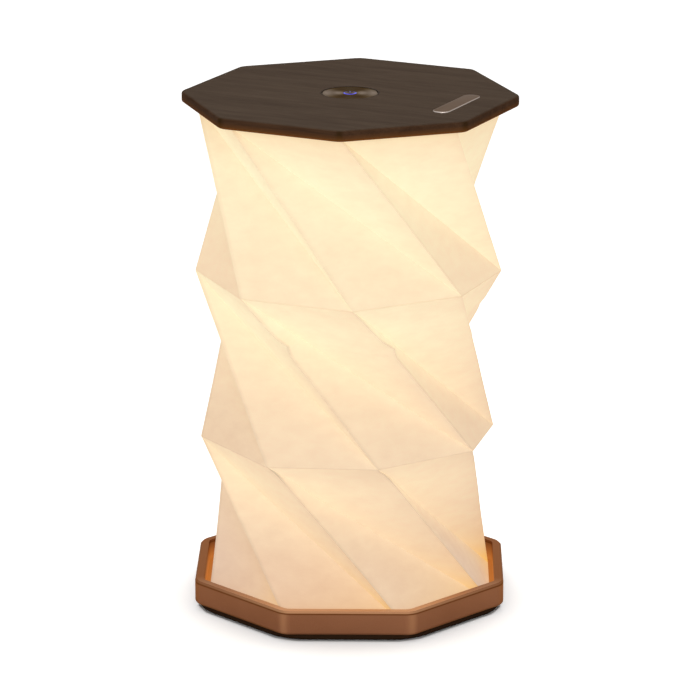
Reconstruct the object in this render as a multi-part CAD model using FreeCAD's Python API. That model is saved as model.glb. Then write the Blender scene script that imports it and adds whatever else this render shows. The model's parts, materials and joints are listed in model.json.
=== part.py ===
import FreeCAD, Part
import math
import os

# Folding table lamp: an octagonal lid and an octagonal tray joined by a twisted paper shade.
# Millimetres, +Z up, the front of the tray faces -Y, and the origin is the middle of the
# footprint on the table. A bearing is a direction seen from above, in degrees, counted from
# the front and growing towards +X.

# Octagon shared by the lid and the tray
SIDES = 8
ACROSS_FLATS = 150.0

# Base: rubber pads, wooden plate and metal tray
FOOT_PAD_RADIUS = 6.0
FOOT_PAD_THICKNESS = 1.4
FOOT_PAD_PROUD = 0.6
BASE_PLATE_THICKNESS = 2.8
BASE_PLATE_INSET = 1.6
BASE_PLATE_CORNER_RADIUS = 26.0
BASE_PLATE_EDGE_RADIUS = 1.2
TRAY_FLOOR = 1.2
TRAY_RIM_WIDTH = 4.3
TRAY_CORNER_RADIUS = 9.0
TRAY_INNER_CORNER_RADIUS = 4.7
TRAY_FOOT_RADIUS = 1.6
TRAY_RIM_CHAMFER = 1.0

# Paper shade in three twisted tiers
LOWER_TIER_HEIGHT = 78.8
MIDDLE_TIER_HEIGHT = 80.7
UPPER_TIER_HEIGHT = 81.3
LOWER_TIER_TWIST = 10.8
MIDDLE_TIER_TWIST = 10.1
UPPER_TIER_TWIST = 4.3
LOWER_CREASE_DRAW = 2.7
UPPER_CREASE_DRAW = 0.9
PAPER_WALL = 0.6
SHADE_TO_TRAY_GAP = 2.1

# Frames that hold the two ends of the paper
FRAME_HEIGHT = 2.4
FRAME_WIDTH = 8.5
FRAME_CORNER_RADIUS = 4.0
FRAME_TO_PAPER_GAP = 0.5
MAGNET_RADIUS = 3.0
MAGNET_THICKNESS = 1.6

# Lid panel with its inlaid strip
LID_THICKNESS = 5.5
LID_CORNER_RADIUS = 7.0
LID_EDGE_RADIUS = 1.3
INLAY_LENGTH = 41.0
INLAY_WIDTH = 8.3
INLAY_THICKNESS = 0.9
INLAY_PROUD = 0.15
INLAY_CORNER_RADIUS = 3.8
INLAY_EDGE_DISTANCE = 19.2

# Push button in the middle of the lid
BUTTON_RADIUS = 13.3
BUTTON_THICKNESS = 1.2
BUTTON_SINK = 0.1
BUTTON_TRAVEL = 0.5
BUTTON_EDGE_CHAMFER = 0.25
BEZEL_WALL = 0.5
BEZEL_SHELF_THICKNESS = 0.8
BEZEL_SHELF_WIDTH = 4.4
RETURN_RING_HEIGHT = 1.2
RETURN_RING_WIDTH = 2.4
RETURN_RING_INSET = 1.2
ICON_RADIUS = 3.2
ICON_STROKE = 0.7
ICON_BAR_LENGTH = 2.9
ICON_GAP_WIDTH = 2.5
LIGHT_GUIDE_RADIUS = 5.0
LIGHT_GUIDE_FLANGE = 0.6
SWITCH_SIZE = 6.2
SWITCH_HEIGHT = 1.8
SWITCH_FLOOR = 0.6
PLUNGER_RADIUS = 1.5
PLUNGER_LENGTH = 1.4
STATUS_LED_LENGTH = 1.6
STATUS_LED_WIDTH = 0.8
STATUS_LED_HEIGHT = 0.6
STATUS_LED_DISTANCE = 5.0

# Light module under the lid
BATTERY_LENGTH = 32.0
BATTERY_WIDTH = 30.0
BATTERY_THICKNESS = 4.6
BATTERY_CORNER_RADIUS = 2.0
BOARD_THICKNESS = 1.0
BOARD_LEDGE_WIDTH = 1.7
BOARD_TO_LID_GAP = 0.2
BATTERY_GAP = 0.2
HOUSING_WALL = 1.6
HOUSING_LIP = 0.8
FLANGE_WIDTH = 5.0
FLANGE_THICKNESS = 1.2
LED_COUNT = 8
LED_LENGTH = 3.5
LED_WIDTH = 2.8
LED_HEIGHT = 0.7
LED_RING_RADIUS = 15.0
LED_TO_DIFFUSER_GAP = 0.9
DIFFUSER_THICKNESS = 1.4
PIN_COUNT = 3
PIN_PITCH = 2.0
PIN_RADIUS = 0.4
PIN_TO_BATTERY_GAP = 1.5

# Charging socket in the rear edge of the lid
SOCKET_WIDTH = 8.9
SOCKET_HEIGHT = 3.2
SOCKET_DEPTH = 7.0
SOCKET_WALL = 0.3
SOCKET_TONGUE_WIDTH = 6.6
SOCKET_TONGUE_THICKNESS = 0.7
SOCKET_TONGUE_LENGTH = 4.6
SOCKET_RECESS = 0.5
SOCKET_END_ROUNDING = 0.95
CHARGE_BOARD_LENGTH = 12.0
CHARGE_BOARD_WIDTH = 12.0
CHARGE_BOARD_THICKNESS = 0.8
CHARGE_BOARD_SETBACK = 1.6
LEAD_WIDTH = 4.0
LEAD_THICKNESS = 0.3
LEAD_GROOVE_DEPTH = 0.5
LEAD_OVERLAP = 6.0

# Countersunk screws, all driven upwards
SCREW_RADIUS = 1.0
SCREW_HEAD_RADIUS = 1.9
SCREW_HEAD_HEIGHT = 0.9
SCREW_RECESS_WIDTH = 0.5
SCREW_RECESS_DEPTH = 0.5
SCREW_RECESS_LENGTH = 2.3
SCREW_BITE = 3.0
SCREW_COUNT = 4

# Fits
LOOSE_FIT = 0.2
RUNNING_FIT = 0.3
GLUE_FIT = 0.1
SCREW_FIT = 0.05
LID_TO_RIM_GAP = 0.3
MODULE_TO_FLOOR_GAP = 1.1

# Levels and radii that follow from the sizes above
STEP = 360.0 / SIDES
HALF_STEP = STEP / 2
CORNER = 1 / math.cos(math.radians(HALF_STEP))
APOTHEM = ACROSS_FLATS / 2
BOARD_BOTTOM = BOARD_TO_LID_GAP + BOARD_THICKNESS
LEDGE_HEIGHT = BATTERY_GAP + BATTERY_THICKNESS
LED_BOARD_TOP = BOARD_BOTTOM + LEDGE_HEIGHT
LED_BOARD_BOTTOM = LED_BOARD_TOP + BOARD_THICKNESS
DIFFUSER_TOP = LED_BOARD_BOTTOM + LED_HEIGHT + LED_TO_DIFFUSER_GAP
MODULE_DEPTH = DIFFUSER_TOP + DIFFUSER_THICKNESS
TRAY_WELL = MODULE_DEPTH + MODULE_TO_FLOOR_GAP - LID_TO_RIM_GAP
PLATE_BOTTOM = FOOT_PAD_PROUD
TRAY_BOTTOM = PLATE_BOTTOM + BASE_PLATE_THICKNESS
FLOOR_TOP = TRAY_BOTTOM + TRAY_FLOOR
RIM_TOP = FLOOR_TOP + TRAY_WELL
LOWER_CREASE = FLOOR_TOP + LOWER_TIER_HEIGHT
UPPER_CREASE = LOWER_CREASE + MIDDLE_TIER_HEIGHT
LID_UNDER = UPPER_CREASE + UPPER_TIER_HEIGHT
LID_TOP = LID_UNDER + LID_THICKNESS
TRAY_INNER_APOTHEM = APOTHEM - TRAY_RIM_WIDTH
SHADE_APOTHEM = TRAY_INNER_APOTHEM - SHADE_TO_TRAY_GAP
SHADE_RADIUS = SHADE_APOTHEM * CORNER
LOWER_CREASE_BEARING = HALF_STEP - LOWER_TIER_TWIST
UPPER_CREASE_BEARING = LOWER_CREASE_BEARING - MIDDLE_TIER_TWIST
LID_BEARING = UPPER_CREASE_BEARING - UPPER_TIER_TWIST
INLAY_BEARING = LID_BEARING + STEP + HALF_STEP
SOCKET_BEARING = LID_BEARING + HALF_STEP + 4 * STEP
LID_SCREW_BEARING = SOCKET_BEARING + STEP
BATTERY_DIAGONAL = math.hypot(BATTERY_LENGTH, BATTERY_WIDTH)
LEDGE_RADIUS = BATTERY_DIAGONAL / 2 + RUNNING_FIT
BOARD_RADIUS = LEDGE_RADIUS + BOARD_LEDGE_WIDTH
HOUSING_BORE = BOARD_RADIUS + RUNNING_FIT
HOUSING_RADIUS = HOUSING_BORE + HOUSING_WALL
DIFFUSER_RADIUS = HOUSING_RADIUS - HOUSING_LIP - GLUE_FIT
FLANGE_RADIUS = HOUSING_RADIUS + FLANGE_WIDTH
BEZEL_BORE = BUTTON_RADIUS + RUNNING_FIT
BEZEL_RADIUS = BEZEL_BORE + BEZEL_WALL
BUTTON_TOP = LID_TOP - BUTTON_SINK
BUTTON_BOTTOM = BUTTON_TOP - BUTTON_THICKNESS
SHELF_TOP = BUTTON_BOTTOM - RETURN_RING_HEIGHT
SHELF_BOTTOM = SHELF_TOP - BEZEL_SHELF_THICKNESS
SHELF_BORE = BEZEL_BORE - BEZEL_SHELF_WIDTH
CONTROL_BOARD_TOP = LID_UNDER - BOARD_TO_LID_GAP
SWITCH_TOP = CONTROL_BOARD_TOP + SWITCH_HEIGHT
PLUNGER_BOTTOM = CONTROL_BOARD_TOP + SWITCH_FLOOR + BUTTON_TRAVEL + GLUE_FIT
PLUNGER_TOP = PLUNGER_BOTTOM + PLUNGER_LENGTH


def at(radius, bearing, z):
    turn = math.radians(bearing)
    return FreeCAD.Vector(radius * math.sin(turn), -radius * math.cos(turn), z)


def turned(shape, bearing):
    copy = shape.copy()
    copy.rotate(FreeCAD.Vector(0, 0, 0), FreeCAD.Vector(0, 0, 1), bearing)
    return copy


def moved(shape, place):
    copy = shape.copy()
    copy.translate(place)
    return copy


def disc(radius, bottom, top):
    return Part.makeCylinder(radius, top - bottom, FreeCAD.Vector(0, 0, bottom))


def tube(radius, bore, bottom, top):
    return disc(radius, bottom, top).cut(disc(bore, bottom, top))


def block(width, front, back, bottom, top):
    corner = FreeCAD.Vector(-width / 2, front, bottom)
    return Part.makeBox(width, back - front, top - bottom, corner)


def upright_edges(shape):
    return [e for e in shape.Edges if abs(e.tangentAt(e.FirstParameter).z) > 0.99]


def edges_at(shape, z):
    return [e for e in shape.Edges if abs(e.BoundBox.ZMin - z) + abs(e.BoundBox.ZMax - z) < 1e-4]


def rounded_block(width, front, back, bottom, top, radius):
    plain = block(width, front, back, bottom, top)
    return plain.makeFillet(radius, upright_edges(plain))


def octagon_ring(apothem, bearing, z):
    corners = [at(apothem * CORNER, bearing + STEP * i, z) for i in range(SIDES)]
    return Part.makePolygon(corners + corners[:1])


def octagon(apothem, bearing, bottom, top, radius):
    face = Part.Face(octagon_ring(apothem, bearing, bottom))
    prism = face.extrude(FreeCAD.Vector(0, 0, top - bottom))
    return prism.makeFillet(radius, upright_edges(prism))


def around(shape, radius, first_bearing, z, count=SCREW_COUNT):
    bearings = [first_bearing + 360.0 / count * i for i in range(count)]
    return [turned(moved(shape, at(radius, 0, z)), bearing) for bearing in bearings]


def screw_body(length, fit=0.0):
    head = Part.makeCone(SCREW_HEAD_RADIUS + fit, SCREW_RADIUS + fit, SCREW_HEAD_HEIGHT)
    return head.fuse(disc(SCREW_RADIUS + fit, SCREW_HEAD_HEIGHT, length + fit)).removeSplitter()


def screw(length):
    half = SCREW_RECESS_LENGTH / 2
    slot = block(SCREW_RECESS_WIDTH, -half, half, 0, SCREW_RECESS_DEPTH)
    return screw_body(length).cut(slot).cut(turned(slot, 90))


def cut_all(shape, tools):
    return shape.cut(Part.makeCompound(tools))


def facet(a, b, c):
    return Part.Face(Part.makePolygon([a, b, c, a]))


def tier_core(low, high, inset):
    """A closed twisted drum: every top corner drops to the two bottom corners ahead of it."""
    bottom, top = [[at(radius - inset, bearing + STEP * i, z) for i in range(SIDES)]
                   for radius, bearing, z in (low, high)]
    faces = [Part.Face(Part.makePolygon(ring + ring[:1])) for ring in (bottom, top)]
    for i in range(SIDES):
        near = bottom[(i + 1) % SIDES]
        far = bottom[(i + 2) % SIDES]
        faces.append(facet(top[i], top[(i + 1) % SIDES], far))
        faces.append(facet(top[i], far, near))
    drum = Part.makeSolid(Part.makeShell(faces))
    if drum.Volume < 0:
        drum.reverse()
    return drum


def tier(low, high):
    return tier_core(low, high, 0.0).cut(tier_core(low, high, PAPER_WALL))


def paper_lean(edge_radius, far_radius, turn, height):
    """How far the paper that hangs on a straight end edge leans inwards, per millimetre."""
    apex = far_radius * math.cos(math.radians(turn + HALF_STEP))
    return (edge_radius / CORNER - apex) / height


def frame_apothem(lean):
    return SHADE_APOTHEM - PAPER_WALL - lean * FRAME_HEIGHT - FRAME_TO_PAPER_GAP


def frame(apothem, bearing, bottom):
    outer = octagon(apothem, bearing, bottom, bottom + FRAME_HEIGHT, FRAME_CORNER_RADIUS)
    inner = octagon(apothem - FRAME_WIDTH, bearing, bottom, bottom + FRAME_HEIGHT, FRAME_CORNER_RADIUS)
    return outer.cut(inner)


# Rings of the paper, from the tray up to the lid
BOTTOM_RING = (SHADE_RADIUS, HALF_STEP, FLOOR_TOP)
LOWER_RING = (SHADE_RADIUS - LOWER_CREASE_DRAW, LOWER_CREASE_BEARING, LOWER_CREASE)
UPPER_RING = (SHADE_RADIUS - UPPER_CREASE_DRAW, UPPER_CREASE_BEARING, UPPER_CREASE)
TOP_RING = (SHADE_RADIUS, LID_BEARING, LID_UNDER)

BOTTOM_LEAN = paper_lean(SHADE_RADIUS, LOWER_RING[0], STEP + LOWER_TIER_TWIST, LOWER_TIER_HEIGHT)
TOP_LEAN = paper_lean(SHADE_RADIUS, UPPER_RING[0], STEP + UPPER_TIER_TWIST, UPPER_TIER_HEIGHT)
BOTTOM_FRAME_APOTHEM = frame_apothem(BOTTOM_LEAN)
TOP_FRAME_APOTHEM = frame_apothem(TOP_LEAN)
BOTTOM_FRAME_MIDDLE = BOTTOM_FRAME_APOTHEM - FRAME_WIDTH / 2
TOP_FRAME_MIDDLE = TOP_FRAME_APOTHEM - FRAME_WIDTH / 2
MAGNET_BEARING = HALF_STEP + STEP
FOOT_BEARING = HALF_STEP

# Screws: through the base into the lower frame, through the upper frame and the flange into the lid
BASE_SCREW_LENGTH = BASE_PLATE_THICKNESS + TRAY_FLOOR + FRAME_HEIGHT - 2 * SCREW_FIT
FRAME_SCREW_LENGTH = FRAME_HEIGHT + SCREW_BITE
FLANGE_SCREW_LENGTH = FLANGE_THICKNESS + SCREW_BITE
FLANGE_SCREW_CIRCLE = HOUSING_RADIUS + FLANGE_WIDTH / 2
BASE_SCREW_PLACE = (BOTTOM_FRAME_MIDDLE, 0, PLATE_BOTTOM)
FRAME_SCREW_PLACE = (TOP_FRAME_MIDDLE, LID_SCREW_BEARING, LID_UNDER - FRAME_HEIGHT)
FLANGE_SCREW_PLACE = (FLANGE_SCREW_CIRCLE, LID_SCREW_BEARING, LID_UNDER - FLANGE_THICKNESS)
BASE_SCREW_HOLES = around(screw_body(BASE_SCREW_LENGTH, SCREW_FIT), *BASE_SCREW_PLACE)
FRAME_SCREW_HOLES = around(screw_body(FRAME_SCREW_LENGTH, SCREW_FIT), *FRAME_SCREW_PLACE)
FLANGE_SCREW_HOLES = around(screw_body(FLANGE_SCREW_LENGTH, SCREW_FIT), *FLANGE_SCREW_PLACE)


def foot_pads():
    pad = disc(FOOT_PAD_RADIUS, 0, FOOT_PAD_THICKNESS)
    return around(pad, BOTTOM_FRAME_MIDDLE, FOOT_BEARING, 0)


def base_plate():
    apothem = APOTHEM - BASE_PLATE_INSET
    plate = octagon(apothem, HALF_STEP, PLATE_BOTTOM, TRAY_BOTTOM, BASE_PLATE_CORNER_RADIUS)
    plate = plate.makeFillet(BASE_PLATE_EDGE_RADIUS, edges_at(plate, PLATE_BOTTOM))
    pocket = disc(FOOT_PAD_RADIUS + GLUE_FIT, PLATE_BOTTOM, FOOT_PAD_THICKNESS)
    pockets = around(pocket, BOTTOM_FRAME_MIDDLE, FOOT_BEARING, 0)
    return cut_all(plate, pockets + BASE_SCREW_HOLES)


def base_tray():
    tray = octagon(APOTHEM, HALF_STEP, TRAY_BOTTOM, RIM_TOP, TRAY_CORNER_RADIUS)
    tray = tray.makeFillet(TRAY_FOOT_RADIUS, edges_at(tray, TRAY_BOTTOM))
    tray = tray.makeChamfer(TRAY_RIM_CHAMFER, edges_at(tray, RIM_TOP))
    well = octagon(TRAY_INNER_APOTHEM, HALF_STEP, FLOOR_TOP, RIM_TOP, TRAY_INNER_CORNER_RADIUS)
    return cut_all(tray, [well] + BASE_SCREW_HOLES)


def magnets(middle, bearing, bottom, fit=0.0):
    magnet = disc(MAGNET_RADIUS + fit, 0, MAGNET_THICKNESS)
    return around(magnet, middle * CORNER, bearing, bottom)


def shade_bottom_frame():
    ring = frame(BOTTOM_FRAME_APOTHEM, HALF_STEP, FLOOR_TOP)
    pocket_floor = FLOOR_TOP + FRAME_HEIGHT - MAGNET_THICKNESS
    pockets = magnets(BOTTOM_FRAME_MIDDLE, MAGNET_BEARING, pocket_floor, GLUE_FIT)
    return cut_all(ring, pockets + BASE_SCREW_HOLES)


def base_magnets():
    pocket_floor = FLOOR_TOP + FRAME_HEIGHT - MAGNET_THICKNESS
    return magnets(BOTTOM_FRAME_MIDDLE, MAGNET_BEARING, pocket_floor)


def shade_top_frame():
    ring = frame(TOP_FRAME_APOTHEM, LID_BEARING, LID_UNDER - FRAME_HEIGHT)
    pockets = magnets(TOP_FRAME_MIDDLE, LID_BEARING, LID_UNDER - FRAME_HEIGHT, GLUE_FIT)
    return cut_all(ring, pockets + FRAME_SCREW_HOLES)


def lid_magnets():
    return magnets(TOP_FRAME_MIDDLE, LID_BEARING, LID_UNDER - FRAME_HEIGHT)


def inlay(fit=0.0):
    middle = -(APOTHEM - INLAY_EDGE_DISTANCE)
    half = INLAY_WIDTH / 2 + fit
    top = LID_TOP + INLAY_PROUD
    width = INLAY_LENGTH + 2 * fit
    bottom = top - INLAY_THICKNESS
    plate = rounded_block(width, middle - half, middle + half, bottom, top, INLAY_CORNER_RADIUS + fit)
    return turned(plate, INLAY_BEARING)


def socket_front():
    return -APOTHEM + SOCKET_RECESS


def charge_board_span():
    front = -APOTHEM + CHARGE_BOARD_SETBACK
    return front, front + CHARGE_BOARD_LENGTH


def stadium(width, height, front, back, bottom):
    """A flat-sided tube section with round ends, lying along Y."""
    radius = SOCKET_END_ROUNDING * height / 2
    plain = block(width, front, back, bottom, bottom + height)
    long_edges = [e for e in plain.Edges if abs(e.tangentAt(e.FirstParameter).y) > 0.99]
    return plain.makeFillet(radius, long_edges)


def socket_recess():
    """Room in the lid for the socket, its board and its lead, open downwards and to the edge."""
    floor = LID_UNDER + CHARGE_BOARD_THICKNESS
    front, back = charge_board_span()
    width = SOCKET_WIDTH + 2 * LOOSE_FIT
    height = SOCKET_HEIGHT + 2 * LOOSE_FIT
    nose = stadium(width, height, -APOTHEM, socket_front() + SOCKET_DEPTH + LOOSE_FIT, floor - LOOSE_FIT)
    nest = block(CHARGE_BOARD_WIDTH + 2 * LOOSE_FIT, front - LOOSE_FIT, back + LOOSE_FIT, LID_UNDER, floor)
    inner_end = -(SHELF_BORE + LEAD_OVERLAP)
    groove_width = LEAD_WIDTH + 2 * LOOSE_FIT
    groove = block(groove_width, back, inner_end + LOOSE_FIT, LID_UNDER, LID_UNDER + LEAD_GROOVE_DEPTH)
    return [turned(room, SOCKET_BEARING) for room in (nose, nest, groove)]


def lid_panel():
    panel = octagon(APOTHEM, LID_BEARING, LID_UNDER, LID_TOP, LID_CORNER_RADIUS)
    panel = panel.makeFillet(LID_EDGE_RADIUS, edges_at(panel, LID_TOP) + edges_at(panel, LID_UNDER))
    seat = disc(BEZEL_RADIUS + GLUE_FIT, SHELF_BOTTOM, LID_TOP)
    throat = disc(SHELF_BORE, LID_UNDER, SHELF_BOTTOM)
    rooms = [seat, throat, inlay(GLUE_FIT)] + socket_recess()
    return cut_all(panel, rooms + FRAME_SCREW_HOLES + FLANGE_SCREW_HOLES)


def button_bezel():
    ring = tube(BEZEL_RADIUS, BEZEL_BORE, SHELF_BOTTOM, LID_TOP)
    return ring.fuse(tube(BEZEL_BORE, SHELF_BORE, SHELF_BOTTOM, SHELF_TOP)).removeSplitter()


def icon(bottom, top, fit=0.0):
    """A broken ring with a short bar in its gap, lit from below."""
    ring = tube(ICON_RADIUS + fit, ICON_RADIUS - ICON_STROKE - fit, bottom, top)
    bar_back = ICON_RADIUS + ICON_STROKE
    ring = ring.cut(block(ICON_GAP_WIDTH - 2 * fit, 0, bar_back, bottom, top))
    bar = block(ICON_STROKE + 2 * fit, bar_back - ICON_BAR_LENGTH - fit, bar_back + fit, bottom, top)
    return [ring, bar]


def button_cap():
    cap = disc(BUTTON_RADIUS, BUTTON_BOTTOM, BUTTON_TOP)
    cap = cap.makeChamfer(BUTTON_EDGE_CHAMFER, edges_at(cap, BUTTON_TOP))
    return cut_all(cap, icon(BUTTON_BOTTOM, BUTTON_TOP, SCREW_FIT))


def button_light_guide():
    flange = disc(LIGHT_GUIDE_RADIUS, BUTTON_BOTTOM - LIGHT_GUIDE_FLANGE, BUTTON_BOTTOM)
    stem = disc(PLUNGER_RADIUS, PLUNGER_TOP, BUTTON_BOTTOM)
    return flange.multiFuse([stem] + icon(BUTTON_BOTTOM, BUTTON_TOP)).removeSplitter()


def return_ring():
    radius = BEZEL_BORE - RETURN_RING_INSET
    return tube(radius, radius - RETURN_RING_WIDTH, SHELF_TOP, BUTTON_BOTTOM)


def tact_switch():
    half = SWITCH_SIZE / 2
    body = block(SWITCH_SIZE, -half, half, CONTROL_BOARD_TOP, SWITCH_TOP)
    well = disc(PLUNGER_RADIUS + LOOSE_FIT, CONTROL_BOARD_TOP + SWITCH_FLOOR, SWITCH_TOP)
    return body.cut(well)


def switch_plunger():
    return disc(PLUNGER_RADIUS, PLUNGER_BOTTOM, PLUNGER_TOP)


def status_led():
    front = -STATUS_LED_DISTANCE - STATUS_LED_WIDTH / 2
    top = CONTROL_BOARD_TOP + STATUS_LED_HEIGHT
    return block(STATUS_LED_LENGTH, front, front + STATUS_LED_WIDTH, CONTROL_BOARD_TOP, top)


def module_housing():
    wall = tube(HOUSING_RADIUS, HOUSING_BORE, LID_UNDER - MODULE_DEPTH, LID_UNDER)
    flange = tube(FLANGE_RADIUS, HOUSING_BORE, LID_UNDER - FLANGE_THICKNESS, LID_UNDER)
    ledge = tube(HOUSING_BORE, LEDGE_RADIUS, LID_UNDER - LED_BOARD_TOP, LID_UNDER - BOARD_BOTTOM)
    body = wall.multiFuse([flange, ledge]).removeSplitter()
    mouth = disc(DIFFUSER_RADIUS + GLUE_FIT, LID_UNDER - MODULE_DEPTH, LID_UNDER - DIFFUSER_TOP)
    return cut_all(body, [mouth] + FLANGE_SCREW_HOLES)


def control_board():
    return disc(BOARD_RADIUS, LID_UNDER - BOARD_BOTTOM, CONTROL_BOARD_TOP)


def battery_cell():
    bottom = LID_UNDER - LED_BOARD_TOP
    half = BATTERY_WIDTH / 2
    top = bottom + BATTERY_THICKNESS
    return rounded_block(BATTERY_LENGTH, -half, half, bottom, top, BATTERY_CORNER_RADIUS)


def board_pins():
    row = BATTERY_WIDTH / 2 + PIN_TO_BATTERY_GAP
    pin = disc(PIN_RADIUS, LID_UNDER - LED_BOARD_TOP, LID_UNDER - BOARD_BOTTOM)
    first = -PIN_PITCH * (PIN_COUNT - 1) / 2
    return [moved(pin, FreeCAD.Vector(first + PIN_PITCH * i, row, 0)) for i in range(PIN_COUNT)]


def led_board():
    return disc(BOARD_RADIUS, LID_UNDER - LED_BOARD_BOTTOM, LID_UNDER - LED_BOARD_TOP)


def leds():
    half = LED_WIDTH / 2
    chip = block(LED_LENGTH, -half, half, -LED_HEIGHT, 0)
    return around(chip, LED_RING_RADIUS, 0, LID_UNDER - LED_BOARD_BOTTOM, LED_COUNT)


def diffuser():
    return disc(DIFFUSER_RADIUS, LID_UNDER - MODULE_DEPTH, LID_UNDER - DIFFUSER_TOP)


def charge_socket():
    floor = LID_UNDER + CHARGE_BOARD_THICKNESS
    front = socket_front()
    back = front + SOCKET_DEPTH
    shell = stadium(SOCKET_WIDTH, SOCKET_HEIGHT, front, back, floor)
    hollow_back = front + SOCKET_TONGUE_LENGTH
    hollow_width = SOCKET_WIDTH - 2 * SOCKET_WALL
    hollow_height = SOCKET_HEIGHT - 2 * SOCKET_WALL
    hollow = stadium(hollow_width, hollow_height, front, hollow_back, floor + SOCKET_WALL)
    tongue_bottom = floor + (SOCKET_HEIGHT - SOCKET_TONGUE_THICKNESS) / 2
    tongue_top = tongue_bottom + SOCKET_TONGUE_THICKNESS
    tongue = block(SOCKET_TONGUE_WIDTH, front + SOCKET_WALL, hollow_back, tongue_bottom, tongue_top)
    return turned(shell.cut(hollow).fuse(tongue).removeSplitter(), SOCKET_BEARING)


def charge_board():
    front, back = charge_board_span()
    top = LID_UNDER + CHARGE_BOARD_THICKNESS
    return turned(block(CHARGE_BOARD_WIDTH, front, back, LID_UNDER, top), SOCKET_BEARING)


def charge_lead():
    back = charge_board_span()[1]
    inner_end = -(SHELF_BORE + LEAD_OVERLAP)
    bottom = LID_UNDER + (LEAD_GROOVE_DEPTH - LEAD_THICKNESS) / 2
    return turned(block(LEAD_WIDTH, back, inner_end, bottom, bottom + LEAD_THICKNESS), SOCKET_BEARING)


PARTS = {
    "foot_pads": foot_pads(),
    "base_plate": base_plate(),
    "base_tray": base_tray(),
    "base_screws": around(screw(BASE_SCREW_LENGTH), *BASE_SCREW_PLACE),
    "base_magnets": base_magnets(),
    "shade_bottom_frame": shade_bottom_frame(),
    "shade_lower_tier": tier(BOTTOM_RING, LOWER_RING),
    "shade_middle_tier": tier(LOWER_RING, UPPER_RING),
    "shade_upper_tier": tier(UPPER_RING, TOP_RING),
    "shade_top_frame": shade_top_frame(),
    "top_frame_screws": around(screw(FRAME_SCREW_LENGTH), *FRAME_SCREW_PLACE),
    "lid_magnets": lid_magnets(),
    "lid_panel": lid_panel(),
    "inlay_plate": inlay(),
    "button_bezel": button_bezel(),
    "button_cap": button_cap(),
    "button_light_guide": button_light_guide(),
    "return_ring": return_ring(),
    "tact_switch": tact_switch(),
    "switch_plunger": switch_plunger(),
    "status_led": status_led(),
    "control_board": control_board(),
    "battery_cell": battery_cell(),
    "board_pins": board_pins(),
    "led_board": led_board(),
    "leds": leds(),
    "diffuser": diffuser(),
    "module_housing": module_housing(),
    "housing_screws": around(screw(FLANGE_SCREW_LENGTH), *FLANGE_SCREW_PLACE),
    "charge_socket": charge_socket(),
    "charge_board": charge_board(),
    "charge_lead": charge_lead(),
}

os.makedirs("parts", exist_ok=True)
for name, shape in PARTS.items():
    solids = shape if isinstance(shape, list) else [shape]
    whole = Part.makeCompound(solids) if len(solids) > 1 else solids[0]
    whole.exportStep("parts/" + name + ".step")
    print(name, len(whole.Solids), "solids", round(whole.Volume, 1), "mm3", "valid", whole.isValid())
LID_TRAVEL = LID_UNDER - RIM_TOP - LID_TO_RIM_GAP
print("lid under", round(LID_UNDER, 2), "lid top", round(LID_TOP, 2), "rim top", round(RIM_TOP, 2))
print("lid travel", round(LID_TRAVEL, 3), "module depth", round(MODULE_DEPTH, 2))
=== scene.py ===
# %% [markdown]
# # A folding paper lamp
#
# The lamp is a dark wooden lid and a copper-coloured tray, joined by a paper shade in three
# twisted tiers. The rigid pieces come from the CAD model and keep their shapes. This lesson
# gives them their finishes, models the paper as paper, and sets up the camera and the light.

# %% Load the CAD frame
import json
import math

import bpy
import numpy as np
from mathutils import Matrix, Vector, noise


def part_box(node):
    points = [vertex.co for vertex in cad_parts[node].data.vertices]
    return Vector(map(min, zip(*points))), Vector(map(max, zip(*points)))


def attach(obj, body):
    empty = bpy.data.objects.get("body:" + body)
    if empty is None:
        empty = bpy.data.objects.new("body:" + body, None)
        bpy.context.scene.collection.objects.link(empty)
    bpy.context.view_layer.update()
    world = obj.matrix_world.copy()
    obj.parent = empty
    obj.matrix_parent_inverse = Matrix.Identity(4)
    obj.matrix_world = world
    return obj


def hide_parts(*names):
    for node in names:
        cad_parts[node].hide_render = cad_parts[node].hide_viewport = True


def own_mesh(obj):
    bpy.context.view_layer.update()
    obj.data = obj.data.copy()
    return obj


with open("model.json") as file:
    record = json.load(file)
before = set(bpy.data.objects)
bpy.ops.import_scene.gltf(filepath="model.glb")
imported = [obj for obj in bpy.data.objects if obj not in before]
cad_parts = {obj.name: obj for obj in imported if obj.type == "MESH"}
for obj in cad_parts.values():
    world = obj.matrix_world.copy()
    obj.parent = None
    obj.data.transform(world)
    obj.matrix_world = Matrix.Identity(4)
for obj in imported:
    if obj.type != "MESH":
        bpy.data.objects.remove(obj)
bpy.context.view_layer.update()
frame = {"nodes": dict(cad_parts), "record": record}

MM = 0.001

# %% [markdown]
# ## Small helpers
#
# Colours are given as sRGB hex values, but Blender mixes light in linear values, so one
# function turns the first into the second. The others add the nodes that most finishes share,
# with their settings and links in one go, so that each finish is short enough to read as a recipe.

# %% Colour and node helpers
def linear(hex_value):
    """An sRGB hex value such as #83533a as linear RGBA."""
    shares = [int(hex_value[k:k + 2], 16) / 255 for k in (1, 3, 5)]
    return [s / 12.92 if s <= 0.04045 else ((s + 0.055) / 1.055) ** 2.4 for s in shares] + [1.0]


def connect(node, inputs):
    """Links each input that is given a socket, and sets each that is given a value."""
    for name, value in inputs.items():
        if isinstance(value, bpy.types.NodeSocket):
            node.id_data.links.new(value, node.inputs[name])
        else:
            node.inputs[name].default_value = value


def add_node(tree, kind, inputs=None, stops=None, **settings):
    """Adds a shader node with its settings and inputs; stops fill a colour ramp."""
    node = tree.nodes.new("ShaderNode" + kind)
    for name, value in settings.items():
        setattr(node, name, value)
    connect(node, inputs or {})
    for place, (position, hex_value) in enumerate(stops or []):
        ramp = node.color_ramp.elements
        stop = ramp[place] if place < len(ramp) else ramp.new(position)
        stop.position = position
        stop.color = linear(hex_value)
    return node


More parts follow.
